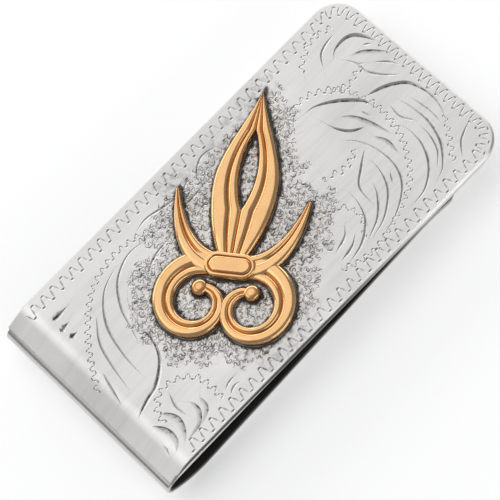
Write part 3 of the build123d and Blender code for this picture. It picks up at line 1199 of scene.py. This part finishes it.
def raised_band(rails, steps, side, points, faces, dips):
    """Adds one chased band of the ornament, as a closed solid on the plate's solder."""
    start = len(points)
    columns = len(band_section)
    for level in ("top", "foot"):
        for step in range(steps + 1):
            inner, outer = rails(step / steps)
            width = hypot(outer[0] - inner[0], outer[1] - inner[1])
            slim = min(1.0, width / 1.7)
            for share, height in band_section:
                across, up, x, y = across_band(inner, outer, share, side)
                crest = 0.5 + (height - 0.5) * (0.35 + 0.65 * slim)
                crest -= band_sink(rails, step / steps, across, up)
                z = scroll_foot_z + (crest * scroll_height if level == "top" else -scroll_root)
                points.append((x, y, z))
                # Painted shade: darkest along the valley, and 0.6 on the foot so that the walls darken
                # downwards.
                dip = max(0.0, 1 - abs(share - valley_share) / valley_reach)
                dips.append(dip if level == "top" else 0.6)
    foot = start + (steps + 1) * columns
    for step in range(steps):
        for col in range(columns - 1):
            a = start + step * columns + col
            faces.append((a, a + 1, a + 1 + columns, a + columns))
            b = foot + step * columns + col
            faces.append((b, b + columns, b + columns + 1, b + 1))
        for col in (0, columns - 1):
            a, b = start + step * columns + col, foot + step * columns + col
            faces.append((a, a + columns, b + columns, b))
    for step in (0, steps):
        for col in range(columns - 1):
            a, b = start + step * columns + col, foot + step * columns + col
            faces.append((a, b, b + 1, a + 1))


def raised_boss(outline_at, profile, points, faces, dips):
    """Adds a boss whose outline shrinks by each inset of its profile as it rises."""
    start = len(points)
    for inset, height in profile:
        ring = outline_at(inset)
        points += [(*on_plate(*spot), scroll_foot_z + height) for spot in ring]
        # Painted shade below the plate's surface and on the rings set between 0.4 and 0.6 in.
        dips += [1.0 if height < 0.0 or (0.4 < inset < 0.6) else 0.0] * len(ring)
    count = len(ring)
    faces += tube_faces(start, len(profile), count)
    faces.append(tuple(start + col for col in reversed(range(count))))
    faces.append(tuple(start + (len(profile) - 1) * count + col for col in range(count)))


def collar_outline(inset):
    """A long round-ended outline across the foot of the bud."""
    reach = collar_half_height - inset
    straight = collar_half_length - collar_half_height
    ring = []
    for end in (1, -1):
        for step in range(17):
            tilt = radians(-90 + 180 * step / 16 + (0 if end == 1 else 180))
            ring.append((end * straight + reach * cos(tilt), collar_place + reach * sin(tilt)))
    return ring


def bead_outline(side):
    """A round outline on the end of a volute."""
    tip = volute_rails(1.0)
    middle = ((tip[0][0] + tip[1][0]) / 2 * side, (tip[0][1] + tip[1][1]) / 2)

    def ring(inset):
        reach = volute_bead - inset
        turns = [2 * pi * step / 28 for step in range(28)]
        return [(middle[0] + reach * cos(t), middle[1] + reach * sin(t)) for t in turns]

    return ring


collar_profile = (
    (0.0, -0.02), (0.0, 0.66), (0.05, 0.80), (0.13, 0.90), (0.25, 0.95), (0.38, 0.94), (0.44, 0.87),
    (0.50, 0.82), (0.56, 0.87), (0.64, 0.96), (0.80, 0.99), (1.05, 1.0), (1.3, 1.0),
)
bead_profile = (
    (0.0, -0.02), (0.0, 0.55), (0.04, 0.68), (0.12, 0.78), (0.25, 0.86), (0.42, 0.91), (0.62, 0.94),
    (0.80, 0.95),
)
band_points, band_faces, band_dips = [], [], []
for rails, steps in scroll_parts:
    for side in (1, -1):
        raised_band(rails, steps, side, band_points, band_faces, band_dips)
for side in (1, -1):
    raised_boss(bead_outline(side), bead_profile, band_points, band_faces, band_dips)
raised_boss(collar_outline, collar_profile, band_points, band_faces, band_dips)


def polished_gilt():
    """Rose-tinted gilding, with painted shade that turns it brown in the chased valleys and down the walls
    to the foot.
    """
    finish = Finish("polished_gilt", Metallic=1.0)
    dip = finish.mark("valley_and_foot_shade")
    brushing = finish.grain((1500, 420, 900), 1.0, 3.0)
    speck = finish.grain((1, 1, 1), 1900.0, 3.0, 0.6)
    patch = finish.grain((1, 1, 1), 420.0, 2.0)
    # Painted shade in the valleys and towards the foot, plus random darker patches and specks.
    shade = dip.between(0.1, 1.0) * (0.35 + patch * 0.7) + speck.between(0.5, 0.85) * 0.15
    shade = shade + patch.between(0.45, 0.75) * 0.14
    height = brushing * 0.5 + speck * 0.5
    return finish.wear(
        Base_Color=finish.blend(shade, gilt_colour, gilt_shade),
        Roughness=0.11 + brushing * 0.07 + speck * 0.05 + dip * 0.12,
        Normal=finish.relief(height, 0.000008, 0.5),
    )


gilt_metal = polished_gilt()
scroll = piece_of("scroll_ornament_chased", band_points, band_faces, gilt_metal, 42.0)
carry(scroll, "valley_and_foot_shade", band_dips)
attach(scroll, "front")
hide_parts("scroll_ornament")


# ---- Ornament solder -----------------------------------------------------------------------
# The film of silver solder that holds the ornament on the plate. It has crept out a hair's breadth
# past every stroke as a dull, sloping fillet, and was left unpolished.
fillet_foot_z = 4.732
fillet_top_z = 4.80
fillet_creep = 0.09
fillet_overlap = 0.01
film_points, film_faces = [], []
for rails, steps in scroll_parts:
    for side in (1, -1):
        start = len(film_points)
        for step in range(steps + 1):
            inner, outer = rails(step / steps)
            width = max(0.02, hypot(outer[0] - inner[0], outer[1] - inner[1]))
            creep = fillet_creep * (1 + 0.5 * uneven(step * 0.7, side * 5.0, steps * 0.3)) / width
            for share, z in (
                (-creep, fillet_foot_z),
                (fillet_overlap, fillet_top_z),
                (1 - fillet_overlap, fillet_top_z),
                (1 + creep, fillet_foot_z),
            ):
                film_points.append((*across_band(inner, outer, share, side)[2:], z))
        film_faces += tube_faces(start, steps + 1, 4)
        film_faces.append((start, start + 1, start + 2, start + 3))
        end = start + 4 * steps
        film_faces.append((end, end + 1, end + 2, end + 3))
ornament_film = piece_of("ornament_solder_film", film_points, film_faces, solder_metal)
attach(ornament_film, "front")
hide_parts("ornament_solder")


# ---- Table, lights and camera --------------------------------------------------------------
# A plain pale table, lit softly from below. Three soft panels hang over it, one each for the flat
# face, the brow and the filed slope, and three low ones stand beyond the free end, the far side
# and the near side.
table_half = 1.2


def pale_table():
    """Matt white opal, lit softly from below."""
    finish = Finish("pale_table", Roughness=0.9, Emission_Strength=1.0)
    cloud = finish.grain((1, 1, 1), 9.0, 2.0)
    return finish.wear(
        Base_Color=finish.blend(cloud, (0.86, 0.86, 0.86, 1), (0.90, 0.90, 0.90, 1)),
        Emission_Color=finish.blend(cloud, (0.40, 0.40, 0.40, 1), (0.42, 0.42, 0.42, 1)),
    )


table_mesh = bpy.data.meshes.new("table_top")
table_corners = [(-table_half, -table_half, 0), (table_half, -table_half, 0)]
table_corners += [(table_half, table_half, 0), (-table_half, table_half, 0)]
table_mesh.from_pydata(table_corners, [], [(0, 1, 2, 3)])
table_mesh.materials.append(pale_table())
table_top = placed("table_top", table_mesh)


def soft_panel(name, position, width, height, brightness):
    """A flat panel light that faces the clip, with the same brightness all over."""
    light = bpy.data.lights.new(name, "AREA")
    light.shape = "RECTANGLE"
    light.size = width
    light.size_y = height
    light.energy = brightness * pi * width * height
    lamp = placed(name, light)
    lamp.location = position
    lamp.rotation_mode = "QUATERNION"
    lamp.rotation_quaternion = (-Vector(position)).to_track_quat("-Z", "Y")


soft_panel("overhead_panel", (0.06, 0.26, 0.60), 0.74, 0.70, 0.74)
soft_panel("brow_panel", (-0.225, 0.20, 0.50), 0.24, 0.34, 0.26)
soft_panel("fold_end_panel", (-0.52, 0.33, 0.60), 0.66, 0.44, 0.68)
soft_panel("free_end_panel", (0.62, 0.44, 0.14), 0.80, 0.30, 2.2)
soft_panel("far_side_panel", (0.02, 0.82, 0.25), 1.05, 0.34, 1.8)
soft_panel("near_side_panel", (0.10, -0.75, 0.30), 0.70, 0.24, 1.6)

studio = bpy.data.worlds.new("studio")
studio.use_nodes = True
studio.node_tree.nodes["Background"].inputs["Color"].default_value = (0.27, 0.273, 0.278, 1)
studio.node_tree.nodes["Background"].inputs["Strength"].default_value = 1.0
bpy.context.scene.world = studio
bpy.context.scene.view_settings.view_transform = "Standard"

camera_place = Vector((-0.03228, -0.11658, 0.29323))
camera_aim = Vector((-0.00142, -0.00117, 0.00473))
camera_roll = -31.53
lens = bpy.data.cameras.new("bench_camera")
lens.sensor_width = 36.0
lens.lens = 216.0
lens.clip_start = 0.01
camera = placed("bench_camera", lens)
camera.rotation_mode = "QUATERNION"
look = (camera_aim - camera_place).to_track_quat("-Z", "Y")
camera.rotation_quaternion = look @ Quaternion((0, 0, 1), radians(camera_roll))
camera.location = camera_place
bpy.context.scene.camera = camera
